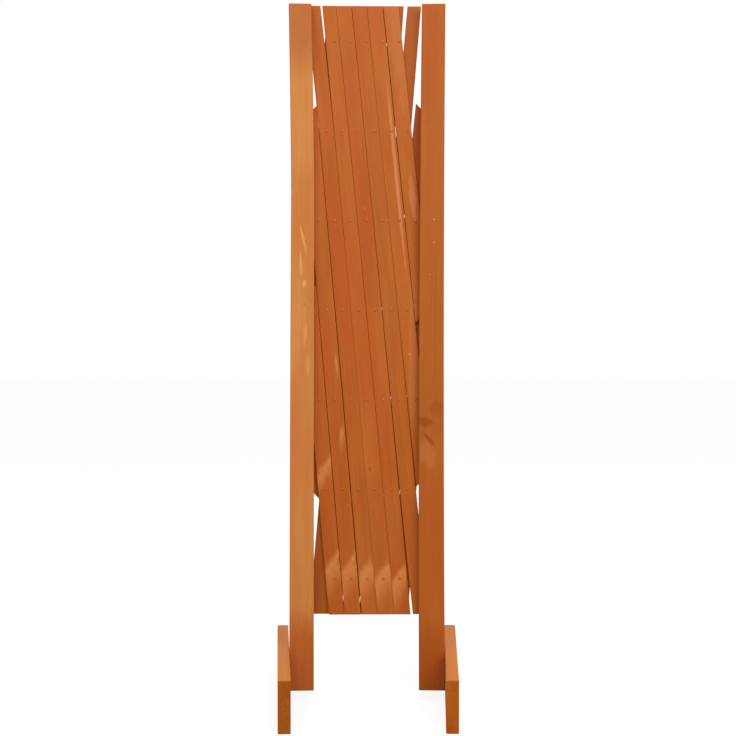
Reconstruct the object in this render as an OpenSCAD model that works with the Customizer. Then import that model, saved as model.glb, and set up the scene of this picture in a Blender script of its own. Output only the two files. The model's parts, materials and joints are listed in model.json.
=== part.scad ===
// Folding trellis fence panel, drawn folded: two layers of slanting laths, pinned where they cross,
// hang between two flat posts, and each post stands against the inner side of a long foot board.
// Millimetres. +Z is up, -Y is the front, and the origin is on the ground midway between the feet.

/* [Posts] */
// Height of the post tops above the ground
post_top = 998; // [960:1:1060]
// Clear space between the ground and each post's bottom end
post_lift = 13; // [0:1:30]
// Width of a post across the front
post_w = 35; // [30:0.5:60]
// Thickness of a post, front to back
post_t = 18; // [14:0.5:30]

/* [Feet] */
// Length of a foot board, front to back
foot_len = 400; // [300:5:600]
// Height of a foot board
foot_h = 70; // [50:1:100]
// Thickness of a foot board
foot_t = 17; // [12:0.5:25]
// Angle by which each end frame turns its front end inwards
toe_in = 3.2; // [0:0.1:5]

/* [Laths] */
// Number of laths in each layer
lath_count = 8; // [5:1:10]
// Width of a lath
lath_w = 22.4; // [18:0.1:28]
// Thickness of a lath
lath_t = 6; // [4:0.5:9]
// Gap between neighbouring laths of one layer when the fence is folded
lath_gap = 0.8; // [0.5:0.1:3]
// Distance between crossings, measured along a lath
pin_pitch = 130; // [118:1:136]
// Length of a lath beyond its last crossing
lath_overhang = 52.3; // [30:0.1:65]
// Height of the folded lattice above the post tops
lattice_rise = 2; // [-40:0.5:10]
// Angle of a lath from upright when the fence is fully open
open_angle = 50; // [40:1:60]
// Space left between the front layer and the rear layer
layer_gap = 0.4; // [0.3:0.1:1]
// Space left between the posts and the front layer
post_gap = 0.3; // [0.3:0.1:1]

/* [Lath tips at the posts] */
// Upper tips: length of lath beyond the edge line, along its middle
upper_tip = 26; // [15:1:35]
// Tips that hold a pivot screw: length of lath below the screw, along its middle
pivot_tip = 8; // [6:1:12]
// Loose lower tip in the front layer; below zero it stops short of the edge line
front_loose_tip = -14; // [-20:1:10]
// Loose lower tip in the rear layer
rear_loose_tip = 4; // [-20:1:10]

/* [Pins and screws] */
// Diameter of a pin's shank
pin_d = 2.5; // [2:0.1:3.2]
// Diameter of a pin's domed front head
pin_head_d = 4.2; // [3.6:0.1:6]
// Height of a pin's domed front head
pin_head_h = 0.9; // [0.6:0.1:1.5]
// Diameter of a pin's flattened rear end
clinch_d = 4.6; // [3.8:0.1:6]
// Thickness of a pin's flattened rear end
clinch_h = 0.8; // [0.5:0.1:1.5]
// Diameter of a screw's shank
screw_d = 3.6; // [3:0.1:4.5]
// Diameter of a screw's head
screw_head_d = 7.4; // [6.4:0.1:9]
// Height of a pivot screw's pan head
pan_h = 2.4; // [2:0.1:3.5]
// Depth to which a pivot screw enters its post
pivot_bite = 11; // [8:0.5:13]
// Depth to which a foot screw enters its post
foot_bite = 22; // [15:0.5:28]
// Distance from a pivot screw's axis to the post's inner edge
pivot_edge = 4.5; // [4:0.1:12]
// Height of the lower foot screw above the ground
foot_screw_z = 26; // [20:1:30]
// Distance between the two foot screws
foot_screw_gap = 28; // [20:1:30]

/* [Edges and fits] */
// Flat taken off every edge of the posts and feet
board_ease = 1.2; // [0.5:0.1:2.5]
// Flat taken off the long edges of the laths
lath_ease = 0.7; // [0.3:0.1:1.2]
// Radial clearance where a lath turns on a pin or screw
turn_fit = 0.06; // [0.02:0.01:0.1]
// Radial clearance where a pin or screw is held fast
held_fit = 0.02; // [0.01:0.01:0.04]
// Space between a turning lath and the pin end or screw head behind it
head_gap = 0.25; // [0.2:0.05:0.5]

/* [Hidden] */
$fn = 48;
wood = "#b8652c";
pale_wood = "#c88240";
steel = "#8d8a84";
// Crossings above and below the middle one on a full lath
levels = 3;
// Extra length by which a cutting shape passes through what it cuts
over = 1;
// Width and depth of the cross recess in a screw head, against the head's diameter and height
recess_w = 0.16;
recess_deep = 0.6;

// Lean of a folded lath: neighbours lie one lath width and one gap apart
fold_angle = asin((lath_w + lath_gap) / pin_pitch) / 2;
// Crossings lie on columns this far apart when folded
column = pin_pitch * sin(fold_angle);
// The edge lines of the lattice run through the pivot screws, this far from the middle
pivot_x = (lath_count - 1) * column;
half_lath = levels * pin_pitch + lath_overhang;
pivot_z = post_top + lattice_rise - half_lath * cos(fold_angle);

// Each end frame turns about the upright line through its foot board's centre
foot_x = pivot_x - pivot_edge + post_w + foot_t / 2;
post_reach = foot_t / 2 + post_w;
post_back = post_reach * sin(toe_in) + post_t / 2 * cos(toe_in);
front_y = post_back + post_gap;
rear_y = front_y + lath_t + layer_gap;
back_y = rear_y + lath_t;
// The pivot screws' tips, measured from the turned post's rear face at the screw's axis
pivot_face_y = (post_t / 2 + (post_reach - pivot_edge) * sin(toe_in)) / cos(toe_in);
pivot_tip_y = pivot_face_y - pivot_bite;

// Levels at which front lath k has a crossing; rear lath k has the same with the sign turned round
function front_levels(k) = [for (j = [-levels : levels]) if (j <= k - 1 && j >= k - lath_count) j];
function rear_levels(k) = [for (j = [levels : -1 : -levels]) if (j >= 1 - k && j <= lath_count - k) j];
// Middle of lath k at pivot height, across the panel
function lath_x(k) = (2 * k - 1 - lath_count) * column;

// Rectangle centred on the origin with a flat taken off each corner
module eased_rect(w, h, ease) {
    x = w / 2;
    y = h / 2;
    polygon([
        [-x + ease, -y], [x - ease, -y], [x, -y + ease], [x, y - ease],
        [x - ease, y], [-x + ease, y], [-x, y - ease], [-x, -y + ease]
    ]);
}

// Board centred on the origin with all twelve edges eased
module eased_board(w, t, h) {
    intersection() {
        linear_extrude(h, center = true) eased_rect(w, t, board_ease);
        rotate([90, 0, 0]) linear_extrude(t + 2 * over, center = true) eased_rect(w, h, board_ease);
        rotate([90, 0, 90]) linear_extrude(w + 2 * over, center = true) eased_rect(t, h, board_ease);
    }
}

// Puts the left end frame's pieces in place: origin at the middle of its foot board on the ground
module left_end() {
    translate([-foot_x, 0, 0]) rotate([0, 0, toe_in]) children();
}

// Round bar along +Y from y0 to y1
module bar_y(d, y0, y1) {
    translate([0, y0, 0]) rotate([-90, 0, 0]) cylinder(h = y1 - y0, d = d);
}

// Upright axis positions of the two foot screws
module at_foot_screws() {
    for (i = [0, 1]) translate([0, 0, foot_screw_z + i * foot_screw_gap]) children();
}

// Countersunk screw that points along +X, with its head flush at the foot board's outer face
module foot_screw(grow) {
    head_h = (screw_head_d - screw_d) / 2;
    translate([-foot_t / 2, 0, 0]) rotate([0, 90, 0]) {
        cylinder(h = foot_t + foot_bite + grow, d = screw_d + 2 * grow);
        cylinder(h = head_h + grow, d1 = screw_head_d + 2 * grow, d2 = screw_d);
    }
}

// Cross recess cut into a head of diameter d and height h from its outer end, which faces -Z
module cross_recess(d, h) {
    for (a = [0, 90]) rotate(a)
        translate([-d * 0.3, -d * recess_w / 2, -over]) cube([d * 0.6, d * recess_w, over + h * recess_deep]);
}

module post() {
    difference() {
        translate([foot_t / 2 + post_w / 2, 0, (post_top + post_lift) / 2])
            eased_board(post_w, post_t, post_top - post_lift);
        at_foot_screws() foot_screw(held_fit);
    }
}

module left_post() {
    color(pale_wood) difference() {
        left_end() post();
        translate([-pivot_x, 0, pivot_z]) bar_y(screw_d + 2 * held_fit, pivot_tip_y - held_fit, back_y);
    }
}

module right_post() {
    color(wood) mirror([1, 0, 0]) difference() {
        left_end() post();
        translate([-pivot_x, 0, pivot_z]) bar_y(screw_d + 2 * held_fit, pivot_tip_y - held_fit, back_y);
    }
}

module left_foot() {
    color(pale_wood) left_end() difference() {
        translate([0, 0, foot_h / 2]) eased_board(foot_t, foot_len, foot_h);
        at_foot_screws() foot_screw(held_fit);
    }
}

module right_foot() {
    mirror([1, 0, 0]) left_foot();
}

module left_foot_screws() {
    color(steel) left_end() at_foot_screws() difference() {
        foot_screw(0);
        translate([-foot_t / 2, 0, 0]) rotate([0, 90, 0]) cross_recess(screw_head_d, (screw_head_d - screw_d) / 2);
    }
}

module right_foot_screws() {
    mirror([1, 0, 0]) left_foot_screws();
}

// Low dome of diameter d and height h on the XY plane, pointing along +Z
module dome(d, h) {
    ball = (d * d / 4 + h * h) / (2 * h);
    intersection() {
        translate([0, 0, h - ball]) sphere(r = ball);
        cylinder(h = h, d = d);
    }
}

module left_pivot_screw() {
    head_y = back_y + head_gap;
    into_head = pan_h * (1 - recess_deep) / 2;
    color(steel) translate([-pivot_x, 0, pivot_z]) {
        bar_y(screw_d, pivot_tip_y, head_y + into_head);
        translate([0, head_y, 0]) rotate([-90, 0, 0]) difference() {
            dome(screw_head_d, pan_h);
            translate([0, 0, pan_h]) mirror([0, 0, 1]) cross_recess(screw_head_d, pan_h);
        }
    }
}

module right_pivot_screw() {
    mirror([1, 0, 0]) left_pivot_screw();
}

// Outline of a front lath across X and Z, with its middle crossing at the origin.
// Each end is a straight cut through the lath's middle line, at an angle from the lath's length.
module lath_outline(bottom, bottom_angle, top, top_angle) {
    x = lath_w / 2;
    rise_b = x / tan(bottom_angle);
    rise_t = x / tan(top_angle);
    polygon([[-x, bottom - rise_b], [x, bottom + rise_b], [x, top + rise_t], [-x, top - rise_t]]);
}

// Front lath k in its own upright frame, front face on y = 0. Laths that reach an edge line of the
// lattice end there, cut upright for the open fence; the others end level with the folded lattice.
module lath_blank(k, loose_tip) {
    left_line = 2 * (k - 1) * pin_pitch;
    right_line = 2 * (k - lath_count) * pin_pitch;
    top_at_edge = left_line < levels * pin_pitch;
    bottom_at_edge = -right_line < levels * pin_pitch;
    tip = k == lath_count ? pivot_tip : loose_tip;
    level_cut = 90 + fold_angle;
    intersection() {
        translate([0, lath_t / 2, 0]) linear_extrude(2 * half_lath + 4 * over + lath_w, center = true)
            eased_rect(lath_w, lath_t, lath_ease);
        rotate([90, 0, 0]) linear_extrude(4 * lath_t, center = true) lath_outline(
            bottom_at_edge ? right_line - tip : -half_lath, bottom_at_edge ? open_angle : level_cut,
            top_at_edge ? left_line + upper_tip : half_lath, top_at_edge ? open_angle : level_cut
        );
    }
}

// Holes of a lath: pins at every level but the pivot's, where the screw's shank passes
module lath_holes(at_levels, pivot_here, pin_fit) {
    for (j = at_levels) {
        is_pivot = j == 0 && pivot_here;
        d = is_pivot ? screw_d + 2 * turn_fit : pin_d + 2 * pin_fit;
        translate([0, 0, j * pin_pitch]) bar_y(d, -over, lath_t + over);
    }
}

module front_lath(k) {
    color(wood) translate([lath_x(k), front_y, pivot_z]) rotate([0, -fold_angle, 0]) difference() {
        lath_blank(k, front_loose_tip);
        lath_holes(front_levels(k), k == 1 || k == lath_count, held_fit);
    }
}

// A rear lath is a front lath turned left for right
module rear_lath(k) {
    color(wood) translate([lath_x(k), rear_y, pivot_z]) rotate([0, fold_angle, 0]) difference() {
        mirror([1, 0, 0]) lath_blank(lath_count + 1 - k, rear_loose_tip);
        lath_holes(rear_levels(k), k == 1 || k == lath_count, turn_fit);
    }
}

// One pin along +Y: domed head on the front lath's face, shank through both laths, flattened end behind
module pin() {
    stack = back_y - front_y + head_gap;
    bar_y(pin_d, 0, stack);
    rotate([90, 0, 0]) dome(pin_head_d, pin_head_h);
    bar_y(clinch_d, stack, stack + clinch_h);
}

// The pins that front lath k carries, at all its crossings but the one on a pivot screw
module lath_pins(k) {
    color(steel) translate([lath_x(k), front_y, pivot_z]) rotate([0, -fold_angle, 0])
        for (j = front_levels(k)) if (j != 0 || (k != 1 && k != lath_count))
            translate([0, 0, j * pin_pitch]) pin();
}

left_post();
right_post();
left_foot();
right_foot();
left_foot_screws();
right_foot_screws();
left_pivot_screw();
right_pivot_screw();
for (k = [1 : lath_count]) {
    front_lath(k);
    rear_lath(k);
    lath_pins(k);
}
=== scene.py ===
import json
import math

import bmesh
import bpy
from mathutils import Matrix, Vector


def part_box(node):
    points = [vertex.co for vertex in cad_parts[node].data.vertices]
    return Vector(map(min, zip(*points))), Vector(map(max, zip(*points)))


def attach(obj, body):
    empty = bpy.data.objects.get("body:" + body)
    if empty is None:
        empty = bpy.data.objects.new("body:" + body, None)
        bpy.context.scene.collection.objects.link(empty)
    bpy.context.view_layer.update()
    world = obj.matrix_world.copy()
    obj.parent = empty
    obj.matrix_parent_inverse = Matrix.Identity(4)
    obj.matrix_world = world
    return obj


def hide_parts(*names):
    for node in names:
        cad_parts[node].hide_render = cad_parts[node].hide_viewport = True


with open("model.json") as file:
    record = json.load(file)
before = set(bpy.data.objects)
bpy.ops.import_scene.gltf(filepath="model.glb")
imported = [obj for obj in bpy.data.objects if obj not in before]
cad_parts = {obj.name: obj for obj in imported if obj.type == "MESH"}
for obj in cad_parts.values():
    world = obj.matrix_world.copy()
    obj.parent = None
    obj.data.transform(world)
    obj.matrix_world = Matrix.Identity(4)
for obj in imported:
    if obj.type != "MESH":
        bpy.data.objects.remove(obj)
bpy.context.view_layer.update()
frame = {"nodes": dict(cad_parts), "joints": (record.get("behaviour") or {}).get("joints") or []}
millimetre = 0.001

# The studio: a white ground under a white sky, soft daylight from all round, two large soft lamps in front,
# a weak one above, and a camera at half the fence's height, as the photograph was taken.
scene = bpy.context.scene
scene.view_settings.view_transform = "Standard"
picture_width = 736
focal_pixels = 1425.4
camera_distance = 2.0505
camera_height = 0.4756
camera_side = -0.0154
camera_turn = math.radians(0.46)
sky_level = 0.62
white = (1, 1, 1, 1)
ground_grey = (0.26, 0.26, 0.255, 1)
ground_lift = 0.83


def put(tree, kind, given=None, **settings):
    """Adds a node to a tree, sets its options, and feeds its inputs with values or other nodes' sockets."""
    made = tree.nodes.new(kind)
    for name, value in settings.items():
        setattr(made, name, value)
    for key, value in (given or {}).items():
        if isinstance(value, bpy.types.NodeSocket):
            tree.links.new(value, made.inputs[key])
        else:
            made.inputs[key].default_value = value
    return made


def math_of(tree, operation, *terms):
    """The output of a Math node, or of a chain of them when there are more than two terms."""
    total = terms[0]
    if len(terms) == 1:
        return put(tree, "ShaderNodeMath", {0: total}, operation=operation).outputs[0]
    for term in terms[1:]:
        total = put(tree, "ShaderNodeMath", {0: total, 1: term}, operation=operation).outputs[0]
    return total


def seen_directly(tree):
    """Light Path's mask for what the camera, a mirror or a glass sees, as against what only sends light."""
    path = put(tree, "ShaderNodeLightPath").outputs
    return math_of(
        tree, "MAXIMUM", path["Is Camera Ray"], path["Is Glossy Ray"], path["Is Transmission Ray"]
    )


def placed(name, data):
    """A new object in the scene that holds a mesh, a lamp or a camera."""
    thing = bpy.data.objects.new(name, data)
    scene.collection.objects.link(thing)
    return thing


def bare_finish(name):
    """A new material and its empty node tree."""
    finish = bpy.data.materials.new(name)
    finish.use_nodes = True
    finish.node_tree.nodes.clear()
    return finish, finish.node_tree


world = bpy.data.worlds.new("white_sky")
scene.world = world
world.use_nodes = True
sky = world.node_tree
sky.nodes.clear()
sky_white = put(sky, "ShaderNodeBackground", {"Color": white, "Strength": 1.0})
sky_light = put(sky, "ShaderNodeBackground", {"Color": (1.0, 0.985, 0.96, 1), "Strength": sky_level})
sky_mix = put(
    sky, "ShaderNodeMixShader", {0: seen_directly(sky), 1: sky_light.outputs[0], 2: sky_white.outputs[0]}
)
put(sky, "ShaderNodeOutputWorld", {"Surface": sky_mix.outputs[0]})

ground_mesh = bpy.data.meshes.new("ground")
ground_size = 60
ground_corners = [(x * ground_size, y * ground_size, 0) for x, y in ((-1, -1), (1, -1), (1, 1), (-1, 1))]
ground_mesh.from_pydata(ground_corners, [], [(0, 1, 2, 3)])
ground = placed("ground", ground_mesh)
ground_paint, paint = bare_finish("pale_ground")
matt = put(paint, "ShaderNodeBsdfDiffuse", {"Color": ground_grey})
lift = put(paint, "ShaderNodeEmission", {"Color": white, "Strength": ground_lift})
nothing = put(paint, "ShaderNodeEmission", {"Strength": 0.0})
shown = put(
    paint, "ShaderNodeMixShader", {0: seen_directly(paint), 1: nothing.outputs[0], 2: lift.outputs[0]}
)
both = put(paint, "ShaderNodeAddShader", {0: matt.outputs[0], 1: shown.outputs[0]})
put(paint, "ShaderNodeOutputMaterial", {"Surface": both.outputs[0]})
ground_mesh.materials.append(ground_paint)


def soft_lamp(name, place, aim, size, power, colour):
    """A square softbox at a place, turned to a point."""
    lamp = bpy.data.lights.new(name, "AREA")
    lamp.shape = "SQUARE"
    lamp.size = size
    lamp.energy = power
    lamp.color = colour
    holder = placed(name, lamp)
    holder.location = place
    holder.rotation_euler = (Vector(aim) - Vector(place)).to_track_quat("-Z", "Y").to_euler()


soft_lamp("key_softbox", (-0.5, -2.4, 2.4), (0, 0, 0.5), 1.5, 27, (1.0, 0.97, 0.93))
soft_lamp("fill_softbox", (0.9, -2.4, 1.7), (0, 0, 0.25), 1.5, 28, (1.0, 0.97, 0.93))
soft_lamp("top_softbox", (0.0, 0.5, 3.0), (0, 0, 0.5), 1.8, 9, (1.0, 0.98, 0.95))

camera_data = bpy.data.cameras.new("camera")
camera_data.sensor_width = 36
camera_data.lens = camera_data.sensor_width * focal_pixels / picture_width
camera = placed("camera", camera_data)
camera.location = (camera_side, -camera_distance, camera_height)
camera.rotation_euler = (math.pi / 2, 0, -camera_turn)
scene.camera = camera

# The end frames: on each side a flat fir post screwed to the inner face of a long foot board that
# stands on edge. All four are planed boards with eased edges, stained before they were put together.
toe_in = math.radians(3.2)
foot_low, foot_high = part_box("left_foot")
foot_side = -(foot_low.x + foot_high.x) / 2
foot_length, foot_height, foot_thick = 0.400, 0.070, 0.017
post_low, post_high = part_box("left_post")
post_width, post_thick = 0.035, 0.018
post_height = post_high.z - post_low.z
screw_heights = (0.026, 0.054)
screw_shank, screw_head, screw_deep = 0.0036, 0.0074, 0.039
round_sides = 28
dent_cells = (90, 90, 55)
tail_curve = 1.3
bend_start = 0.22
end_ease = 0.6
eased_from, crease = math.radians(38), math.radians(40)
frame_edges = {"Edge Radius": 0.0013, "Edge Wear": 0.0003}
post_rings, foot_rings = 260, 140
foot_tone, foot_tone_side = 1.11, 0.05
foot_seed = 2.3


def plus(tree, *terms):
    """All the terms added up."""
    return math_of(tree, "ADD", *terms)


def minus(tree, first, second):
    """The first term less the second."""
    return math_of(tree, "SUBTRACT", first, second)


def times(tree, *terms):
    """All the terms multiplied."""
    return math_of(tree, "MULTIPLY", *terms)


def vector_of(tree, x=0.0, y=0.0, z=0.0):
    """The output of a Combine XYZ node."""
    return put(tree, "ShaderNodeCombineXYZ", {"X": x, "Y": y, "Z": z}).outputs[0]


def vector_math(tree, operation, first, second):
    """The output of a Vector Math node."""
    return put(tree, "ShaderNodeVectorMath", {0: first, 1: second}, operation=operation).outputs[0]


def length_of(tree, vector):
    """How long a vector is."""
    return put(tree, "ShaderNodeVectorMath", {0: vector}, operation="LENGTH").outputs["Value"]


def parts_of(tree, vector):
    """A vector's X, Y and Z."""
    return put(tree, "ShaderNodeSeparateXYZ", {0: vector}).outputs


def smooth_step(tree, value, low, high):
    """Nought below low, one above high, and a smooth rise between them; low may be the larger."""
    return put(
        tree, "ShaderNodeMapRange", {"Value": value, "From Min": low, "From Max": high},
        interpolation_type="SMOOTHSTEP",
    ).outputs["Result"]


def stored(tree, shape, label, value, kind="FLOAT", domain="POINT"):
    """The same shape, with a value kept on it under a name."""
    return put(
        tree, "GeometryNodeStoreNamedAttribute", {"Geometry": shape, "Name": label, "Value": value},
        data_type=kind, domain=domain,
    ).outputs[0]


def noise_of(tree, place, stretch, detail=2.0, roughness=0.5):
    """A noise between nought and one over a place that is multiplied by stretch, in cells per metre."""
    return put(
        tree, "ShaderNodeTexNoise",
        {
            "Vector": vector_math(tree, "MULTIPLY", place, stretch), "Scale": 1.0, "Detail": detail,
            "Roughness": roughness,
        },
    ).outputs[0]


def board_tree():
    """Geometry Nodes tree of one planed board: a rounded section swept upright, both ends cut at their
    own slope, a little sideways bend and taper, worn edges, and then turned and moved to its place."""
    tree = bpy.data.node_groups.new("planed_board", "GeometryNodeTree")
    face = tree.interface
    face.new_socket("Board", in_out="OUTPUT", socket_type="NodeSocketGeometry")
    sockets = {}
    for name, value in (
        ("Width", 0.03), ("Depth", 0.01), ("Top", 1.0), ("Bottom", 0.0), ("Top Slope", 0.0),
        ("Bottom Slope", 0.0), ("Edge Radius", 0.001), ("Edge Wear", 0.0001), ("Shift Top", 0.0),
        ("Shift Middle", 0.0), ("Shift Bottom", 0.0), ("Top Tail", 0.0), ("Top Tail Start", 1.0),
        ("Bottom Tail", 0.0), ("Bottom Tail Start", -1.0), ("Taper", 0.0), ("Reach", 0.44), ("Seed", 0.0),
    ):
        sockets[name] = face.new_socket(name, in_out="INPUT", socket_type="NodeSocketFloat")
        sockets[name].default_value = value
    sockets["Rings"] = face.new_socket("Rings", in_out="INPUT", socket_type="NodeSocketInt")
    sockets["Rings"].default_value = 120
    for name in ("Place", "Turn", "Tone"):
        sockets[name] = face.new_socket(name, in_out="INPUT", socket_type="NodeSocketVector")
    sockets["Tone"].default_value = (1, 0, 0)
    sockets["Finish"] = face.new_socket("Finish", in_out="INPUT", socket_type="NodeSocketMaterial")
    given = put(tree, "NodeGroupInput").outputs

    section = put(
        tree, "GeometryNodeCurvePrimitiveQuadrilateral", {"Width": given["Width"], "Height": given["Depth"]}
    ).outputs[0]
    section = put(
        tree, "GeometryNodeFilletCurve", {"Curve": section, "Count": 3, "Radius": given["Edge Radius"]},
        mode="POLY",
    ).outputs[0]
    rail = put(tree, "GeometryNodeCurvePrimitiveLine", {"Start": (0, 0, 0), "End": (0, 0, 1)}).outputs[0]
    rail = put(tree, "GeometryNodeResampleCurve", {"Curve": rail, "Count": given["Rings"]}).outputs[0]
    swept = put(
        tree, "GeometryNodeCurveToMesh", {"Curve": rail, "Profile Curve": section, "Fill Caps": True}
    ).outputs[0]

    where = parts_of(tree, put(tree, "GeometryNodeInputPosition").outputs[0])
    low = plus(tree, given["Bottom"], times(tree, where["X"], given["Bottom Slope"]))
    high = plus(tree, given["Top"], times(tree, where["X"], given["Top Slope"]))
    rise = times(tree, minus(tree, high, low), where["Z"])
    cut = put(
        tree, "GeometryNodeSetPosition",
        {"Geometry": swept, "Position": vector_of(tree, where["X"], where["Y"], plus(tree, low, rise))},
    ).outputs[0]

    place = put(tree, "GeometryNodeInputPosition").outputs[0]
    kept = stored(tree, cut, "board_place", place, "FLOAT_VECTOR")
    half_width, half_depth = times(tree, given["Width"], 0.5), times(tree, given["Depth"], 0.5)
    half = vector_of(tree, half_width, half_depth, given["Reach"])
    kept = stored(tree, kept, "board_half", half, "FLOAT_VECTOR")
    kept = stored(tree, kept, "board_seed", given["Seed"])
    kept = stored(tree, kept, "board_tone", given["Tone"], "FLOAT_VECTOR")
    facing = parts_of(tree, put(tree, "GeometryNodeInputNormal").outputs[0])["Z"]
    at_end = math_of(tree, "GREATER_THAN", math_of(tree, "ABSOLUTE", facing), 0.5)
    kept = stored(tree, kept, "end_grain", at_end, domain="FACE")

    along = parts_of(tree, place)
    share = math_of(tree, "DIVIDE", along["Z"], given["Reach"])
    tilt = times(tree, minus(tree, given["Shift Top"], given["Shift Bottom"]), 0.5)
    ends = times(tree, plus(tree, given["Shift Top"], given["Shift Bottom"]), 0.5)
    bend = minus(tree, ends, given["Shift Middle"])
    drift = plus(
        tree, given["Shift Middle"], times(tree, tilt, share),
        times(tree, bend, share, share), times(tree, along["X"], share, given["Taper"]),
    )
    for side, sign in (("Top", 1), ("Bottom", -1)):
        past = times(tree, minus(tree, along["Z"], given[side + " Tail Start"]), float(sign))
        room = times(tree, minus(tree, given[side], given[side + " Tail Start"]), float(sign))
        part = math_of(
            tree, "DIVIDE", math_of(tree, "MAXIMUM", past, 0.0), math_of(tree, "MAXIMUM", room, millimetre)
        )
        curl = times(tree, math_of(tree, "POWER", part, tail_curve), given[side + " Tail"])
        drift = plus(tree, drift, curl)
    near_side = minus(tree, times(tree, given["Width"], 0.5), math_of(tree, "ABSOLUTE", along["X"]))
    near_face = minus(tree, times(tree, given["Depth"], 0.5), math_of(tree, "ABSOLUTE", along["Y"]))
    on_edge = math_of(tree, "LESS_THAN", math_of(tree, "MAXIMUM", near_side, near_face), given["Edge Radius"])
    spot = vector_math(tree, "ADD", place, vector_of(tree, given["Seed"], given["Seed"], given["Seed"]))
    dents = noise_of(tree, spot, dent_cells)
    worn = times(tree, smooth_step(tree, dents, 0.45, 0.75), given["Edge Wear"], on_edge)
    inward = vector_of(
        tree,
        plus(tree, times(tree, math_of(tree, "SIGN", along["X"]), worn, -1.0), drift),
        times(tree, math_of(tree, "SIGN", along["Y"]), worn, -1.0),
    )
    bent = put(tree, "GeometryNodeSetPosition", {"Geometry": kept, "Offset": inward}).outputs[0]
    stood = put(
        tree, "GeometryNodeTransform",
        {"Geometry": bent, "Translation": given["Place"], "Rotation": given["Turn"]},
    ).outputs[0]
    real = put(tree, "GeometryNodeRealizeInstances", {0: stood}).outputs[0]
    done = put(tree, "GeometryNodeSetMaterial", {"Geometry": real, "Material": given["Finish"]}).outputs[0]
    put(tree, "NodeGroupOutput", {0: done})
    return tree, sockets


def grain_tree():
    """Geometry Nodes tree that carries the grain's place, size, seed and tone from a board's blank over to
    the drilled board, whose new edges have none."""
    tree = bpy.data.node_groups.new("grain_from_blank", "GeometryNodeTree")
    tree.interface.new_socket("Board", in_out="OUTPUT", socket_type="NodeSocketGeometry")
    tree.interface.new_socket("Drilled", in_out="INPUT", socket_type="NodeSocketGeometry")
    sockets = {"Blank": tree.interface.new_socket("Blank", in_out="INPUT", socket_type="NodeSocketObject")}
    given = put(tree, "NodeGroupInput").outputs
    blank = put(tree, "GeometryNodeObjectInfo", {"Object": given["Blank"]}).outputs["Geometry"]
    board = given["Drilled"]
    for label, kind in (
        ("board_place", "FLOAT_VECTOR"), ("board_half", "FLOAT_VECTOR"), ("board_tone", "FLOAT_VECTOR"),
        ("board_seed", "FLOAT"),
    ):
        mark = put(
            tree, "GeometryNodeInputNamedAttribute", {"Name": label}, data_type=kind
        ).outputs["Attribute"]
        found = put(
            tree, "GeometryNodeSampleNearestSurface", {"Mesh": blank, "Value": mark}, data_type=kind
        ).outputs["Value"]
        board = stored(tree, board, label, found, kind)
    put(tree, "NodeGroupOutput", {0: board})
    return tree, sockets


planed_board = board_tree()
board_grain = grain_tree()


def shaped_by(thing, made, values):
    """Gives an object a Geometry Nodes modifier from (tree, sockets), with the values of its inputs."""
    tree, sockets = made
    shaping = thing.modifiers.new(tree.name, "NODES")
    shaping.node_group = tree
    for key, value in values.items():
        shaping[sockets[key].identifier] = value


def cutter_of(name, bars):
    """Mesh object that drills holes: each bar is (start, end, start radius, end radius)."""
    drilled = bmesh.new()
    for start, end, first, last in bars:
        line = end - start
        turn = line.to_track_quat("Z", "Y").to_matrix().to_4x4()
        bmesh.ops.create_cone(
            drilled, cap_ends=True, segments=round_sides, radius1=first, radius2=last, depth=line.length,
            matrix=Matrix.Translation((start + end) / 2) @ turn,
        )
    mesh = bpy.data.meshes.new(name)
    drilled.to_mesh(mesh)
    drilled.free()
    return placed(name, mesh)


def plain_mesh(thing):
    """A plain copy of an object's mesh, with its modifiers applied."""
    return bpy.data.meshes.new_from_object(thing.evaluated_get(bpy.context.evaluated_depsgraph_get()))


def flat_faced(mesh):
    """The same mesh with smooth edges, sharp creases, and shading that keeps its large faces flat."""
    mesh.shade_smooth()
    mesh.set_sharp_from_angle(angle=crease)
    holder = placed("holder", mesh)
    weighing = holder.modifiers.new("flat_faces", "WEIGHTED_NORMAL")
    weighing.keep_sharp = True
    weighing.weight = 100
    weighed = plain_mesh(holder)
    bpy.data.objects.remove(holder)
    bpy.data.meshes.remove(mesh)
    return weighed


def made_board(name, body, nodes, slot, finish, holes, **sizes):
    """A finished board: the tree's shape with its end edges eased and its holes drilled, as one plain mesh
    that moves with its body in place of the nodes it stands for."""
    blank, drilled = (placed(name + part, bpy.data.meshes.new(name + part)) for part in ("_a", "_b"))
    for stage in (blank, drilled):
        shaped_by(stage, planed_board, {**sizes, "Finish": finish})
    easing = drilled.modifiers.new("eased_ends", "BEVEL")
    easing.width = end_ease * sizes["Edge Radius"]
    easing.segments = 2
    easing.limit_method = "ANGLE"
    easing.angle_limit = eased_from
    cutter = cutter_of(name + "_drill", holes)
    drilling = drilled.modifiers.new("holes", "BOOLEAN")
    drilling.operation = "DIFFERENCE"
    drilling.solver = "EXACT"
    drilling.object = cutter
    shaped_by(drilled, board_grain, {"Blank": blank})
    mesh = plain_mesh(drilled)
    for spent in (blank, drilled, cutter):
        bpy.data.objects.remove(spent)
    board = placed(name, flat_faced(mesh))
    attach(board, body)
    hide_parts(*nodes)


def group_with(name, inputs, outputs):
    """An empty shader group with its named inputs, (kind, name, value), and outputs, (kind, name)."""
    group = bpy.data.node_groups.new(name, "ShaderNodeTree")
    for kind, label, value in inputs:
        socket = group.interface.new_socket(label, in_out="INPUT", socket_type="NodeSocket" + kind)
        socket.default_value = value
    for kind, label in outputs:
        group.interface.new_socket(label, in_out="OUTPUT", socket_type="NodeSocket" + kind)
    return group, put(group, "NodeGroupInput").outputs


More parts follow.
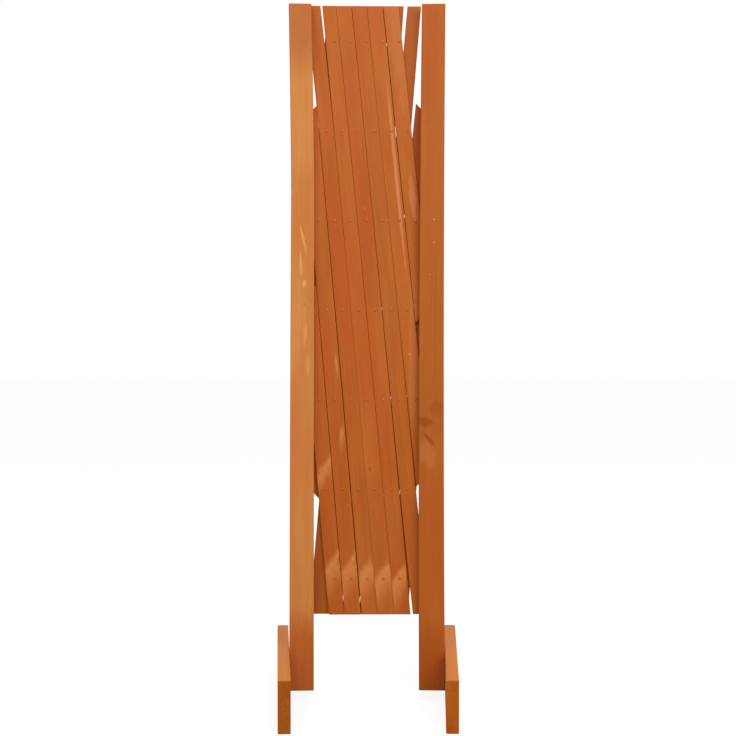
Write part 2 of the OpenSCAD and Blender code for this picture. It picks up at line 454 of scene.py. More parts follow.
def carried(tree, label, output="Vector"):
    """A value that a mesh carries under a name."""
    return put(tree, "ShaderNodeAttribute", attribute_name=label).outputs[output]


def mixed(tree, share, first, second, blend="MIX"):
    """The colour output of a Mix node."""
    node = put(tree, "ShaderNodeMix", data_type="RGBA", blend_type=blend)
    for socket, value in ((0, share), (6, first), (7, second)):
        if isinstance(value, bpy.types.NodeSocket):
            tree.links.new(value, node.inputs[socket])
        else:
            node.inputs[socket].default_value = value
    return node.outputs[2]


def stained_grain_group():
    """Stained fir: growth bands, fine fibres, cloudy stain, paler edges, partly worn stain and partly a
    painted highlight, and dark thirsty end grain.
    """
    group, given = group_with(
        "stained_grain",
        [
            ("Color", "Pale", (0.6, 0.3, 0.1, 1)), ("Color", "Brown", (0.4, 0.15, 0.04, 1)),
            ("Color", "Red", (0.4, 0.1, 0.03, 1)), ("Float", "Band Strength", 0.3),
            ("Float", "Band Width", 0.004), ("Float", "Cloud Strength", 0.5), ("Float", "Edge Strength", 0.4),
            ("Float", "End Shade", 0.6),
        ],
        [("Color", "Color"), ("Float", "Roughness"), ("Float", "Height")],
    )
    place = carried(group, "board_place")
    half = carried(group, "board_half")
    seed = carried(group, "board_seed", "Fac")
    at_end = carried(group, "end_grain", "Fac")
    spread = vector_of(group, times(group, seed, 0.37), times(group, seed, 0.53), times(group, seed, 0.71))
    wood = vector_math(group, "ADD", place, spread)
    wander = noise_of(group, wood, (9, 9, 2.2))
    parts = parts_of(group, place)
    waver = noise_of(group, wood, (45, 45, 7))
    pith_x = plus(
        group, parts["X"], times(group, math_of(group, "SINE", seed), 0.012),
        times(group, minus(group, wander, 0.5), 0.016),
        times(group, minus(group, waver, 0.5), 0.005),
    )
    pith_y = plus(
        group, parts["Y"], 0.02, times(group, parts["Z"], times(group, math_of(group, "COSINE", seed), 0.03))
    )
    ring = length_of(group, vector_of(group, pith_x, pith_y, 0.0))
    turn = times(group, math_of(group, "DIVIDE", ring, given["Band Width"]), 2 * math.pi)
    wave = plus(group, times(group, math_of(group, "SINE", turn), 0.5), 0.5)
    fade = noise_of(group, vector_math(group, "ADD", wood, (7.7, 2.9, 1.3)), (70, 70, 5))
    late = times(
        group, math_of(group, "POWER", wave, 2.0), smooth_step(group, fade, 0.3, 0.7),
        minus(group, 1.0, times(group, at_end, 0.85)),
    )
    streak = noise_of(group, wood, (230, 230, 2.6), 3.0, 0.6)
    fibre = noise_of(group, wood, (1700, 1700, 26), 2.0, 0.6)
    cloud = noise_of(group, wood, (26, 26, 6.5), 2.0, 0.55)
    warm = noise_of(group, vector_math(group, "ADD", wood, (3.1, 1.7, 5.3)), (34, 34, 4.5), 1.0)
    dark = plus(
        group, 0.42,
        times(group, late, given["Band Strength"]),
        times(group, minus(group, streak, 0.5), 0.8),
        times(group, minus(group, cloud, 0.5), given["Cloud Strength"]),
    )
    dark = math_of(group, "MINIMUM", math_of(group, "MAXIMUM", dark, 0.0), 1.0)
    colour = mixed(group, dark, given["Pale"], given["Brown"])
    colour = mixed(group, times(group, smooth_step(group, warm, 0.45, 0.72), 0.55), colour, given["Red"])
    # The board's tone: brightness, redness and paleness. The rear strips' brightness below one is painted
    # shade.
    tint = parts_of(group, carried(group, "board_tone"))
    colour = mixed(group, tint["Y"], colour, given["Red"])
    colour = mixed(group, tint["Z"], colour, given["Pale"])
    shade = times(group, plus(group, 0.9, times(group, fibre, 0.2)), tint["X"])
    tone = put(group, "ShaderNodeCombineColor", {0: shade, 1: shade, 2: shade}).outputs[0]
    colour = mixed(group, 1.0, colour, tone, "MULTIPLY")
    size = parts_of(group, half)
    side = minus(group, size["X"], math_of(group, "ABSOLUTE", parts["X"]))
    face = minus(group, size["Y"], math_of(group, "ABSOLUTE", parts["Y"]))
    # Paler arrises: partly worn stain, partly a painted highlight for the light that rounded edges catch.
    edge = smooth_step(group, math_of(group, "MAXIMUM", side, face), 0.0016, 0.0004)
    rubbed = times(group, edge, smooth_step(group, cloud, 0.35, 0.65), given["Edge Strength"])
    colour = mixed(group, rubbed, colour, given["Pale"])
    pores = noise_of(group, wood, (1500, 1500, 1500), 1.0)
    soaked = mixed(group, pores, (0.55, 0.5, 0.42, 1), (0.85, 0.8, 0.74, 1))
    thirsty = mixed(group, 1.0, colour, soaked, "MULTIPLY")
    colour = mixed(group, times(group, at_end, given["End Shade"]), colour, thirsty)
    rough = plus(group, 0.44, times(group, late, -0.06), times(group, fibre, 0.16))
    relief = plus(group, times(group, late, 0.5), times(group, fibre, 0.6), times(group, streak, 0.5))
    put(group, "NodeGroupOutput", {0: colour, 1: rough, 2: relief})
    return group


def soft_mark_group():
    """A soft oval mark on a board, at a place measured from the board's own middle, for knots, scuffs, and
    painted shade and highlights.
    """
    group, given = group_with(
        "soft_mark",
        [
            ("Vector", "Place", (0, 0, 0)), ("Vector", "Middle", (0, 0, 0)),
            ("Vector", "Half Size", (0.01, 1, 0.01)), ("Float", "Slant", 0.0), ("Float", "Lean", 0.0),
            ("Float", "Ragged", 0.3), ("Float", "Seed", 0.0),
        ],
        [("Float", "Inside")],
    )
    place = given["Place"]
    own_place = vector_math(group, "ADD", place, vector_of(group, given["Seed"], 0.0, given["Seed"]))
    rough = noise_of(group, own_place, (260, 260, 90))
    off = parts_of(group, vector_math(group, "SUBTRACT", place, given["Middle"]))
    leaned = minus(group, off["X"], times(group, off["Z"], given["Lean"]))
    slanted = minus(group, off["Z"], times(group, off["X"], given["Slant"]))
    share = vector_math(group, "DIVIDE", vector_of(group, leaned, off["Y"], slanted), given["Half Size"])
    away = length_of(group, share)
    away = plus(group, away, times(group, minus(group, rough, 0.5), given["Ragged"], 2.0))
    put(group, "NodeGroupOutput", {0: smooth_step(group, away, 1.0, 0.55)})
    return group


stained_grain = stained_grain_group()
soft_mark = soft_mark_group()


def stained_wood(
    name, pale, brown, red, marks, bands, cloud, edge, end=0.6, shine=0.16, patches=(), across=False,
):
    """A stained fir finish with growth bands, (strength, width), its own marks, (colour, strength, middle,
    half size, (slant, lean), ragged), some of them painted shade and highlights, and paler patches, (colour,
    strength, top, depth, left, right). Marks are placed from the board's own middle, or in the fence's own
    axes where they run across boards."""
    finish, tree = bare_finish(name)
    grain = put(tree, "ShaderNodeGroup", node_tree=stained_grain)
    for label, value in (
        ("Pale", pale), ("Brown", brown), ("Red", red), ("Band Strength", bands[0]), ("Band Width", bands[1]),
        ("Cloud Strength", cloud), ("Edge Strength", edge), ("End Shade", end),
    ):
        grain.inputs[label].default_value = value
    colour = grain.outputs["Color"]
    if across:
        place = put(tree, "ShaderNodeTexCoord").outputs["Object"]
    else:
        place = carried(tree, "board_place")
    for tint, strength, top, depth, left, right in patches:
        patch = put(tree, "ShaderNodeGroup", node_tree=scraped_patch)
        for label, value in (("Top", top), ("Depth", depth), ("Left", left), ("Right", right)):
            patch.inputs[label].default_value = value
        colour = mixed(tree, times(tree, patch.outputs["Inside"], strength), colour, tint)
    for number, (tint, strength, middle, half_size, (slant, lean), ragged) in enumerate(marks):
        spot = put(tree, "ShaderNodeGroup", node_tree=soft_mark)
        tree.links.new(place, spot.inputs["Place"])
        for label, value in (
            ("Middle", middle), ("Half Size", half_size), ("Slant", slant), ("Lean", lean),
            ("Ragged", ragged), ("Seed", number * 0.3),
        ):
            spot.inputs[label].default_value = value
        colour = mixed(tree, times(tree, spot.outputs["Inside"], strength), colour, tint)
    relief = put(
        tree, "ShaderNodeBump", {"Height": grain.outputs["Height"], "Strength": 0.35, "Distance": 0.0004}
    ).outputs[0]
    surface = put(
        tree, "ShaderNodeBsdfPrincipled",
        {
            "Base Color": colour, "Roughness": grain.outputs["Roughness"], "Normal": relief,
            "Specular IOR Level": shine,
        },
    )
    put(tree, "ShaderNodeOutputMaterial", {"Surface": surface.outputs[0]})
    return finish


def stain(red, green, blue):
    """A colour written as it looks on a screen, 0 to 255, as the linear colour that a material takes."""
    return tuple(((c / 255 + 0.055) / 1.055) ** 2.4 for c in (red, green, blue)) + (1,)


pale_streak = stain(236, 168, 88)
dark_knot = stain(140, 58, 12)
upright = (0.0, 0.0)
mark_y, mark_deep = -post_thick / 2, 0.008
left_post_wood = stained_wood(
    "left_post_stain_and_painted_light", stain(217, 147, 78), stain(197, 117, 51), stain(204, 112, 54),
    marks=[
        (stain(178, 88, 36), 0.6, (0, mark_y, 0.52), (0.05, 0.05, 0.15), upright, 0.06),
        # Painted shade: the post is darkened towards its bottom, as if shaded near the ground.
        (stain(170, 62, 8), 0.62, (0, mark_y, -0.5), (0.05, 0.05, 0.145), upright, 0.08),
        (stain(218, 146, 72), 0.5, (0.003, mark_y, 0.0365), (0.0032, mark_deep, 0.040), upright, 0.3),
        (pale_streak, 0.7, (0.0004, mark_y, 0.1575), (0.0021, mark_deep, 0.023), (0.0, -0.23), 0.35),
        (pale_streak, 0.65, (-0.0022, mark_y, 0.119), (0.0028, mark_deep, 0.019), (0.0, -0.06), 0.4),
        (pale_streak, 0.75, (0.0027, mark_y, 0.091), (0.0034, mark_deep, 0.0064), (0.0, 0.1), 0.3),
        (pale_streak, 0.45, (0.0045, mark_y, 0.017), (0.0025, mark_deep, 0.02), (0.0, 0.08), 0.3),
        (pale_streak, 0.35, (0.0082, mark_y, -0.026), (0.0034, mark_deep, 0.018), upright, 0.3),
        (stain(176, 98, 36), 0.8, (0.0028, mark_y, 0.0616), (0.0013, mark_deep, 0.0024), upright, 0.2),
    ],
    bands=(0.12, 0.0034), cloud=0.75, edge=0.35,
)
right_post_wood = stained_wood(
    "right_post_stain_and_painted_light", stain(191, 106, 36), stain(168, 83, 22), stain(185, 86, 24),
    marks=[
        # Painted shade: the post is darkened towards its bottom, as if shaded near the ground.
        (stain(156, 62, 12), 0.42, (0, mark_y, -0.5), (0.05, 0.05, 0.125), upright, 0.08),
        (stain(152, 66, 8), 0.65, (-0.0095, mark_y, -0.107), (0.016, mark_deep, 0.0085), (-0.1, 0.0), 0.35),
        (stain(172, 70, 18), 0.5, (0.0085, mark_y, -0.089), (0.012, mark_deep, 0.016), upright, 0.35),
        (stain(184, 84, 32), 0.4, (0.012, mark_y, -0.118), (0.016, mark_deep, 0.016), (-0.4, 0.0), 0.35),
        (stain(204, 122, 60), 0.42, (-0.006, mark_y, -0.153), (0.015, mark_deep, 0.022), (-0.6, 0.0), 0.35),
        (dark_knot, 0.6, (-0.0035, mark_y, -0.132), (0.0095, mark_deep, 0.0048), (-1.0, 0.0), 0.25),
        (pale_streak, 0.7, (0.0029, mark_y, 0.1832), (0.0013, mark_deep, 0.0015), upright, 0.2),
        (pale_streak, 0.45, (0.0030, mark_y, 0.1503), (0.0020, mark_deep, 0.0014), upright, 0.2),
        (pale_streak, 0.45, (-0.0025, mark_y, 0.1045), (0.001, mark_deep, 0.002), upright, 0.2),
    ],
    bands=(0.12, 0.0042), cloud=0.75, edge=0.3,
)
foot_wood = stained_wood(
    "foot_stain_and_painted_light", stain(202, 118, 42), stain(172, 86, 18), stain(184, 84, 20),
    # Painted light: the top face of each foot board is made paler, as if lit from above.
    marks=[(stain(226, 156, 74), 0.3, (0, 0.0362, 0), (0.1, 0.0036, 1.0), upright, 0.1)],
    bands=(0.22, 0.005), cloud=0.6, edge=0.3, end=0.85, shine=0.045,
)


def frame_point(side, along, outwards, height):
    """Where a point of an end frame is: side is -1 for the left frame and 1 for the right, along runs to the
    back of the foot board, and outwards runs away from the lattice, both from the foot board's middle."""
    turn = side * -toe_in
    x = side * outwards
    return Vector((
        side * foot_side + x * math.cos(turn) - along * math.sin(turn),
        x * math.sin(turn) + along * math.cos(turn),
        height,
    ))


fold_joint = next(joint for joint in frame["joints"] if joint["name"] == "fold")
pivot_side, pivot_height = -fold_joint["pos_m"][0], fold_joint["pos_m"][2]
pivot_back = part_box("left_pivot_screw")[1].y
pivot_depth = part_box("left_pivot_screw")[0].y
held_fit = 0.00002
drill_start = 0.0001

# Each post's own width, its taper, its sideways shift at the top, middle and bottom, and the bend of its top.
# Lengths are in metres.
left_shape = (0.0338, -0.04, 0.0028, 0.00086, -0.00007, -0.005)
right_shape = (0.0356, -0.052, 0.0011, -0.0021, -0.0014, 0.0)
for side, name, shape, finish, slot, seed in (
    (-1, "left", left_shape, left_post_wood, "post_pale_wood", 3.0),
    (1, "right", right_shape, right_post_wood, "post_brown_wood", 8.4),
):
    own_width, taper, shift_top, shift_middle, shift_bottom, top_bend = shape
    through = []
    for height in screw_heights:
        skin = frame_point(side, 0, foot_thick / 2 + drill_start, height)
        neck = frame_point(side, 0, foot_thick / 2 - (screw_head - screw_shank) / 2, height)
        tip = frame_point(side, 0, foot_thick / 2 - screw_deep, height)
        through.append((skin, tip, screw_shank / 2 + held_fit, screw_shank / 2 + held_fit))
        through.append((skin, neck, screw_head / 2 + 5 * held_fit, screw_shank / 2))
    post_middle = frame_point(side, 0, -(foot_thick + post_width) / 2, (post_low.z + post_high.z) / 2)
    pivot_hole = (
        Vector((side * pivot_side, pivot_depth - held_fit, pivot_height)),
        Vector((side * pivot_side, pivot_back, pivot_height)),
        screw_shank / 2 + held_fit, screw_shank / 2 + held_fit,
    )
    made_board(
        name + "_post_board", name + "_end", [name + "_post"], slot, finish,
        [through[0], through[2], pivot_hole],
        Width=own_width, Depth=post_thick, Top=post_height / 2, Bottom=-post_height / 2,
        Reach=post_height / 2, Place=post_middle, Turn=(0, 0, -side * toe_in), Rings=post_rings, Seed=seed,
        Taper=taper,
        **{
            **frame_edges, "Shift Top": shift_top, "Shift Middle": shift_middle,
            "Shift Bottom": shift_bottom, "Top Tail": top_bend, "Top Tail Start": bend_start,
        },
    )
    made_board(
        name + "_foot_board", name + "_end", [name + "_foot"], "foot_wood", foot_wood, through,
        Width=foot_thick, Depth=foot_height, Top=foot_length / 2, Bottom=-foot_length / 2,
        Reach=foot_length / 2, Place=frame_point(side, 0, 0, foot_height / 2),
        Turn=(math.pi / 2, 0, -side * toe_in), Rings=foot_rings, Seed=seed + foot_seed,
        Tone=(foot_tone + foot_tone_side * side, 0.0, 0.0), **frame_edges,
    )

# The laths: two layers of eight thin planed fir strips, stained like the frame. The front layer's tops lean
# left and the rear layer's lean right; each strip has its own width and bend, and a free end may splay.
# Strips that reach the side of the lattice are cut off there, the others level with its top and bottom.
lath_width, lath_thick, lath_pitch = 0.0224, 0.006, 0.130
lath_gap = 0.0008
lath_reach = 0.4423
levels = 3
lath_count = 8
fold_angle = math.asin((lath_width + lath_gap) / lath_pitch) / 2
column = lath_pitch * math.sin(fold_angle)
front_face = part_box("front_lath_4")[0].y
rear_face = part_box("rear_lath_4")[0].y
turn_fit = 0.00006
pin_shank = 0.0025
side_cut = 1 / math.tan(math.radians(50))
level_cut = -math.tan(fold_angle)
upper_tip, pivot_tip = 0.026, 0.008
loose_tips = {"front": -0.014, "rear": 0.004}
lath_edges = {"Edge Radius": 0.0008, "Edge Wear": 0.00022}
lath_rings = 110
tail_length = 0.182
seed_step, rear_seeds = 1.73, 20.4


def scraped_patch_group():
    """A paler patch on the front strips' faces: it starts at a line that rises across each strip and fades
    downwards, between two sides of the fence."""
    group, given = group_with(
        "scraped_patch",
        [("Float", "Top", 0.2), ("Float", "Depth", 0.04), ("Float", "Left", -0.1), ("Float", "Right", 0.1)],
        [("Float", "Inside")],
    )
    spot = parts_of(group, put(group, "ShaderNodeTexCoord").outputs["Object"])
    place = carried(group, "board_place")
    across = parts_of(group, place)["X"]
    ragged = noise_of(group, place, (150, 150, 60))
    blotch = noise_of(group, place, (90, 90, 40), 3.0)
    height = plus(
        group, spot["Z"], times(group, spot["X"], 0.2), times(group, across, -1.5),
        times(group, ragged, 0.014),
    )
    below = minus(group, given["Top"], height)
    inside = times(
        group, smooth_step(group, below, 0.0, 0.016), smooth_step(group, blotch, 0.2, 0.5),
        smooth_step(group, math_of(group, "DIVIDE", below, given["Depth"]), 1.0, 0.15),
        smooth_step(group, minus(group, spot["X"], given["Left"]), 0.0, 0.003),
        smooth_step(group, minus(group, given["Right"], spot["X"]), 0.0, 0.003),
        smooth_step(group, spot["Y"], front_face + 0.003, front_face + 0.001),
    )
    put(group, "NodeGroupOutput", {0: inside})
    return group


scraped_patch = scraped_patch_group()
lath_lean = (0.0, -0.09)
mark_y, mark_deep = 0.0095, 0.005
lath_wood = stained_wood(
    "lath_stain_and_painted_light", stain(198, 110, 40), stain(168, 81, 19), stain(190, 84, 26),
    patches=[
        (stain(226, 148, 78), 0.7, 0.204, 0.064, -0.063, 0.058),
        (stain(226, 146, 86), 0.8, 0.337, 0.044, -0.075, -0.050),
        (stain(222, 142, 80), 0.65, 0.384, 0.042, -0.0415, -0.032),
    ],
    marks=[
        (stain(204, 122, 66), 0.5, (0.052, mark_y, 0.96), (0.028, mark_deep, 0.19), lath_lean, 0.3),
        (stain(222, 148, 84), 0.6, (-0.0445, mark_y, 0.481), (0.0024, mark_deep, 0.026), lath_lean, 0.3),
        # Painted highlight: a pale band along the right edge of a front strip, as if its rounded edge caught
        # the light.
        (stain(230, 158, 106), 0.5, (0.0420, mark_y, 0.755), (0.0036, mark_deep, 0.2), (0.0, -0.1), 0.2),
        # Painted highlights: a paler band and a spot on the front strip next to the right post, as if its
        # edge caught the light.
        (stain(214, 132, 74), 0.35, (0.066, mark_y, 0.5), (0.009, mark_deep, 0.15), upright, 0.3),
        (stain(222, 146, 92), 0.45, (0.0655, mark_y, 0.722), (0.0075, mark_deep, 0.045), lath_lean, 0.3),
        (stain(130, 56, 10), 0.7, (0.0039, mark_y, 0.329), (0.0022, mark_deep, 0.0032), upright, 0.2),
        (pale_streak, 0.6, (0.061, mark_y, 0.496), (0.0038, mark_deep, 0.0015), (0.1, 0.0), 0.2),
        (pale_streak, 0.65, (-0.0198, mark_y, 0.1995), (0.002, mark_deep, 0.007), (0.0, -0.5), 0.2),
        (pale_streak, 0.5, (-0.028, mark_y, 0.277), (0.0014, mark_deep, 0.0014), upright, 0.1),
        (pale_streak, 0.5, (-0.0035, mark_y, 0.707), (0.0011, mark_deep, 0.002), upright, 0.1),
        (pale_streak, 0.5, (0.031, mark_y, 0.690), (0.0011, mark_deep, 0.002), upright, 0.1),
    ],
    bands=(0.15, 0.0046), cloud=1.1, edge=0.5, end=0.8, across=True,
)

# Each strip's width over or under the usual one, its sideways shift at the top, middle and bottom, all in
# millimetres, its taper to the top, and its tone: brightness, redness and paleness.
front_strips = (
    (0.2, 1.7, -0.6, -2.5, 0.014, (0.97, 0.0, 0.05)), (0.9, -0.2, -0.45, -2.4, -0.006, (1.0, 0.05, 0.05)),
    (-0.45, -1.55, -0.2, -1.3, -0.039, (1.0, 0.1, 0.0)), (-0.3, -3.95, -1.3, -0.8, -0.11, (1.02, 0.0, 0.08)),
    (0.3, -6.15, -1.8, -0.1, -0.02, (1.0, 0.08, 0.0)), (0.2, -7.1, -1.85, 1.9, -0.049, (1.0, 0.0, 0.05)),
    (0.45, -7.85, -2.1, 3.9, -0.003, (1.02, 0.08, 0.18)), (0.1, -7.8, -2.15, 2.3, -0.005, (1.02, 0.0, 0.2)),
)
# Painted shade: the rear strips' brightness, below one, darkens them as if in the shade of the front strips
# and the posts.
rear_strips = (
    (-2.5, -4.7, 0.4, 4.9, 0.0, (0.94, 0.1, 0.0)), (0.78, -6.3, -1.2, 3.3, 0.0, (0.94, 0.0, 0.0)),
    (0.78, -6.3, -1.2, 3.3, 0.0, (0.9, 0.1, 0.0)), (0.78, -6.3, -1.2, 3.3, 0.0, (0.9, 0.0, 0.0)),
    (-0.4, -7.75, -1.8, 3.6, -0.08, (0.9, 0.1, 0.0)), (-0.7, -6.1, -2.65, 4.9, -0.09, (0.9, 0.1, 0.05)),
    (0.4, -7.0, -3.1, 4.85, 0.02, (0.87, 0.0, 0.0)), (0.0, -10.0, -3.4, 5.25, -0.1, (0.88, 0.1, 0.0)),
)
# Free ends that splay: how far their tips stand off, in millimetres, to the right. One rear strip is longer.
top_splay = {
    "front_lath_3": -2.2, "rear_lath_1": -1.5, "rear_lath_2": -1.5, "rear_lath_3": -1.5, "rear_lath_4": -1.5,
    "rear_lath_5": -0.6, "rear_lath_7": 3.2,
}
bottom_splay = {"front_lath_6": 1.6, "rear_lath_3": -1.5, "rear_lath_4": -1.5}
longer_top = {"rear_lath_7": 0.0045}


def lath_ends(layer, number):
    """Bottom, bottom slope, top and top slope of a strip, from its middle crossing: a rear strip is the front
    strip of the other side, turned left for right."""
    flip = 1 if layer == "front" else -1
    place = number if layer == "front" else lath_count + 1 - number
    left_line = 2 * (place - 1) * lath_pitch
    right_line = 2 * (place - lath_count) * lath_pitch
    tip = pivot_tip if place == lath_count else loose_tips[layer]
    bottom, bottom_slope = -lath_reach, level_cut
    top, top_slope = lath_reach, level_cut
    if -right_line < levels * lath_pitch:
        bottom, bottom_slope = right_line - tip, side_cut
    if left_line < levels * lath_pitch:
        top, top_slope = left_line + upper_tip, side_cut
    return bottom, flip * bottom_slope, top, flip * top_slope


def crossing_levels(layer, number):
    """The levels, counted from the middle one, at which a strip crosses one of the other layer."""
    place = number if layer == "front" else lath_count + 1 - number
    return [level for level in range(-levels, levels + 1) if place - lath_count <= level <= place - 1]


def lath_point(layer, number, across, through, along):
    """Where a point of a strip is: across and along its face from its middle crossing, and through from its
    front face."""
    lean = -fold_angle if layer == "front" else fold_angle
    face = front_face if layer == "front" else rear_face
    x = (2 * number - 1 - lath_count) * column
    return Vector((
        x + across * math.cos(lean) + along * math.sin(lean),
        face + through,
        pivot_height - across * math.sin(lean) + along * math.cos(lean),
    ))


for layer, strips in (("front", front_strips), ("rear", rear_strips)):
    for number, (wider, shift_top, shift_middle, shift_bottom, taper, tone) in enumerate(strips, 1):
        name = f"{layer}_lath_{number}"
        bottom, bottom_slope, top, top_slope = lath_ends(layer, number)
        top += longer_top.get(name, 0)
        bars = []
        for level in crossing_levels(layer, number):
            on_screw = level == 0 and number in (1, lath_count)
            if on_screw:
                radius = screw_shank / 2 + turn_fit
            else:
                radius = pin_shank / 2 + (held_fit if layer == "front" else turn_fit)
            start = lath_point(layer, number, 0, -millimetre, level * lath_pitch)
            end = lath_point(layer, number, 0, lath_thick + millimetre, level * lath_pitch)
            bars.append((start, end, radius, radius))
        made_board(
            name + "_strip", name, [name], "lath_wood", lath_wood, bars,
            Width=lath_width + wider * millimetre, Depth=lath_thick, Top=top, Bottom=bottom,
            Reach=lath_reach, Place=lath_point(layer, number, 0, lath_thick / 2, 0),
            Turn=(0, -fold_angle if layer == "front" else fold_angle, 0), Rings=lath_rings, Tone=tone,
            Taper=taper, Seed=number * seed_step + (0 if layer == "front" else rear_seeds),
            **{
                **lath_edges, "Top Slope": top_slope, "Bottom Slope": bottom_slope,
                "Shift Top": shift_top * millimetre, "Shift Middle": shift_middle * millimetre,
                "Shift Bottom": shift_bottom * millimetre,
                "Top Tail": top_splay.get(name, 0) * millimetre, "Top Tail Start": top - tail_length,
                "Bottom Tail": bottom_splay.get(name, 0) * millimetre,
                "Bottom Tail Start": bottom + tail_length,
            },
        )

# The pins: small steel rivets through each crossing. Their domed heads were stained over with the wood and
# are rubbed bright in the middle, and their ends are hammered flat on the back of the rear strips.
pin_head, pin_dome, clinch, clinch_thick, head_gap = 0.0042, 0.0009, 0.0046, 0.0008, 0.00025
pin_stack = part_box("rear_lath_4")[1].y - front_face + head_gap
pin_crease = math.radians(50)
pin_tint = stain(188, 98, 36)


def turned(name, outline):
    """A solid turned about the front-to-back axis from its outline: (radius, depth) from front to back."""
    shape = bmesh.new()
    line = [shape.verts.new((radius, depth, 0)) for radius, depth in outline]
    edges = [shape.edges.new(pair) for pair in zip(line, line[1:])]
    bmesh.ops.spin(
        shape, geom=line + edges, cent=(0, 0, 0), axis=(0, 1, 0), angle=2 * math.pi, steps=round_sides,
        use_merge=True,
    )
    bmesh.ops.remove_doubles(shape, verts=shape.verts, dist=1e-6)
    bmesh.ops.recalc_face_normals(shape, faces=shape.faces)
    mesh = bpy.data.meshes.new(name)
    shape.to_mesh(mesh)
    shape.free()
    return mesh


def pin_outline():
    """Half section of a pin: low dome, shank, and an end spread by the hammer."""
    ball = (pin_head ** 2 / 4 + pin_dome ** 2) / (2 * pin_dome)
    rim = math.asin(pin_head / 2 / ball)
    dome = [(ball * math.sin(rim * i / 6), ball - pin_dome - ball * math.cos(rim * i / 6)) for i in range(7)]
    swell = [
        (clinch / 2 * 0.93, pin_stack), (clinch / 2, pin_stack + clinch_thick * 0.3),
        (clinch / 2 * 0.97, pin_stack + clinch_thick * 0.75), (clinch / 2 * 0.8, pin_stack + clinch_thick),
        (0, pin_stack + clinch_thick * 0.94),
    ]
    return dome + [(pin_shank / 2, 0), (pin_shank / 2, pin_stack)] + swell


one_pin = placed("one_pin", turned("one_pin", pin_outline()))


def pin_row_tree():
    """Geometry Nodes tree that sets a row of equal pins along a strip, each turned a little on its own."""
    tree = bpy.data.node_groups.new("pin_row", "GeometryNodeTree")
    face = tree.interface
    face.new_socket("Pins", in_out="OUTPUT", socket_type="NodeSocketGeometry")
    sockets = {"Pin": face.new_socket("Pin", in_out="INPUT", socket_type="NodeSocketObject")}
    for name, kind in (("Count", "Int"), ("Lowest", "Float"), ("Pitch", "Float"), ("Seed", "Int")):
        sockets[name] = face.new_socket(name, in_out="INPUT", socket_type="NodeSocket" + kind)
    for name in ("Place", "Turn"):
        sockets[name] = face.new_socket(name, in_out="INPUT", socket_type="NodeSocketVector")
    sockets["Finish"] = face.new_socket("Finish", in_out="INPUT", socket_type="NodeSocketMaterial")
    given = put(tree, "NodeGroupInput").outputs
    pin = put(tree, "GeometryNodeObjectInfo", {"Object": given["Pin"]}).outputs["Geometry"]
    spot = parts_of(tree, put(tree, "GeometryNodeInputPosition").outputs[0])
    pin = stored(tree, pin, "from_axis", length_of(tree, vector_of(tree, spot["X"], 0.0, spot["Z"])))
    pin = stored(tree, pin, "pin_depth", spot["Y"])
    row = put(
        tree, "GeometryNodeMeshLine",
        {
            "Count": given["Count"], "Start Location": vector_of(tree, 0.0, 0.0, given["Lowest"]),
            "Offset": vector_of(tree, 0.0, 0.0, given["Pitch"]),
        },
    ).outputs[0]
    spin = put(
        tree, "FunctionNodeRandomValue", {"Max": 6.28, "Seed": given["Seed"]}, data_type="FLOAT"
    ).outputs[1]
    set_in = put(
        tree, "GeometryNodeInstanceOnPoints",
        {"Points": row, "Instance": pin, "Rotation": vector_of(tree, 0.0, spin, 0.0)},
    ).outputs[0]
    leaned = put(
        tree, "GeometryNodeTransform",
        {"Geometry": set_in, "Translation": given["Place"], "Rotation": given["Turn"]},
    ).outputs[0]
    real = put(tree, "GeometryNodeRealizeInstances", {0: leaned}).outputs[0]
    done = put(tree, "GeometryNodeSetMaterial", {"Geometry": real, "Material": given["Finish"]}).outputs[0]
    put(tree, "NodeGroupOutput", {0: done})
    return tree, sockets


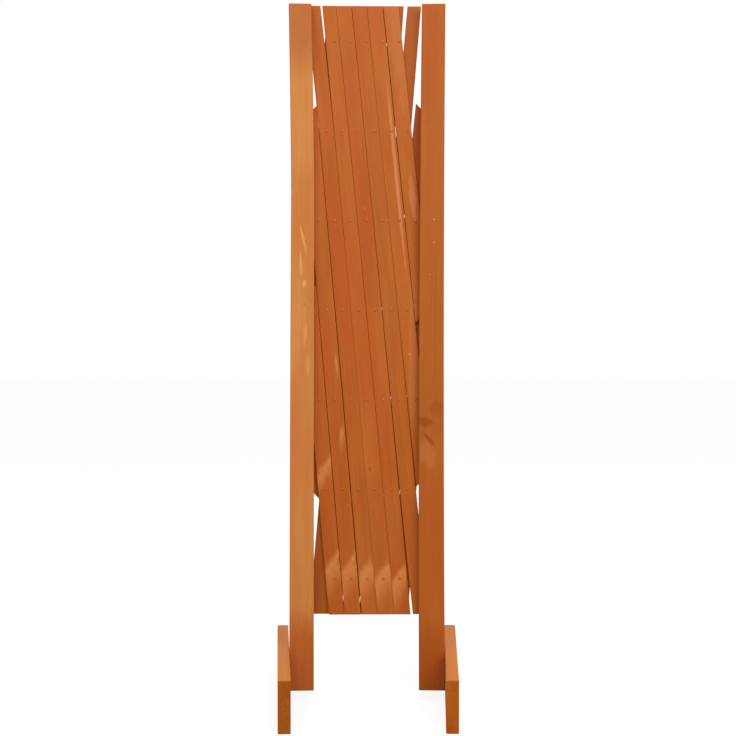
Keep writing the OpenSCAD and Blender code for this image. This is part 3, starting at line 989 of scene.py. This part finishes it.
def stained_pin():
    """Steel that is stained over on the head, rubbed a little on some, and dull zinc on the hammered end."""
    finish, tree = bare_finish("pin_finish")
    away = carried(tree, "from_axis", "Fac")
    depth = carried(tree, "pin_depth", "Fac")
    place = put(tree, "ShaderNodeTexCoord").outputs["Object"]
    blotch = noise_of(tree, place, (900, 900, 900))
    on_head = math_of(tree, "LESS_THAN", depth, 0.0002)
    rubbed = smooth_step(tree, plus(tree, away, times(tree, blotch, 0.0006)), 0.0014, 0.0007)
    some = smooth_step(tree, noise_of(tree, place, (21, 21, 21), 0.0), 0.45, 0.7)
    rubbed = times(tree, rubbed, some, 0.3)
    stained = times(tree, on_head, minus(tree, 1.0, rubbed))
    zinc = mixed(tree, blotch, (0.42, 0.41, 0.38, 1), (0.6, 0.58, 0.53, 1))
    colour = mixed(tree, stained, zinc, pin_tint)
    metal = minus(tree, 1.0, stained)
    rough = plus(tree, 0.4, times(tree, blotch, 0.2))
    surface = put(
        tree, "ShaderNodeBsdfPrincipled",
        {"Base Color": colour, "Metallic": metal, "Roughness": rough, "Specular IOR Level": 0.25},
    )
    put(tree, "ShaderNodeOutputMaterial", {"Surface": surface.outputs[0]})
    return finish


pin_row = pin_row_tree()
pin_finish = stained_pin()
for number in range(1, lath_count + 1):
    on_post = number in (1, lath_count)
    pin_levels = [level for level in crossing_levels("front", number) if level or not on_post]
    name = f"lath_pins_{number}"
    holder = placed(name + "_blank", bpy.data.meshes.new(name + "_blank"))
    shaped_by(holder, pin_row, {
        "Pin": one_pin, "Count": len(pin_levels), "Lowest": pin_levels[0] * lath_pitch,
        "Pitch": lath_pitch, "Seed": number, "Place": lath_point("front", number, 0, 0, 0),
        "Turn": (0, -fold_angle, 0), "Finish": pin_finish,
    })
    mesh = plain_mesh(holder)
    bpy.data.objects.remove(holder)
    mesh.name = name
    mesh.shade_smooth()
    mesh.set_sharp_from_angle(angle=pin_crease)
    pins = placed(name + "_row", mesh)
    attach(pins, f"front_lath_{number}")
    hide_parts(name)
bpy.data.objects.remove(one_pin)

# The screws: zinc plated wood screws, two countersunk ones through each foot board into its post, and one
# pan head behind each side of the lattice that holds both layers to the post and lets them turn.


def zinc_plate():
    """Dull zinc with fine clouding."""
    finish, tree = bare_finish("zinc_plate")
    place = put(tree, "ShaderNodeTexCoord").outputs["Object"]
    clouding = noise_of(tree, place, (700, 700, 700), 3.0)
    colour = mixed(tree, clouding, (0.44, 0.43, 0.4, 1), (0.66, 0.65, 0.61, 1))
    rough = plus(tree, 0.28, times(tree, clouding, 0.2))
    surface = put(
        tree, "ShaderNodeBsdfPrincipled", {"Base Color": colour, "Metallic": 1.0, "Roughness": rough}
    )
    put(tree, "ShaderNodeOutputMaterial", {"Surface": surface.outputs[0]})
    return finish


zinc = zinc_plate()
for name in ("left_foot_screws", "right_foot_screws", "left_pivot_screw", "right_pivot_screw"):
    screw = frame["nodes"][name]
    screw.data.materials.clear()
    screw.data.materials.append(zinc)
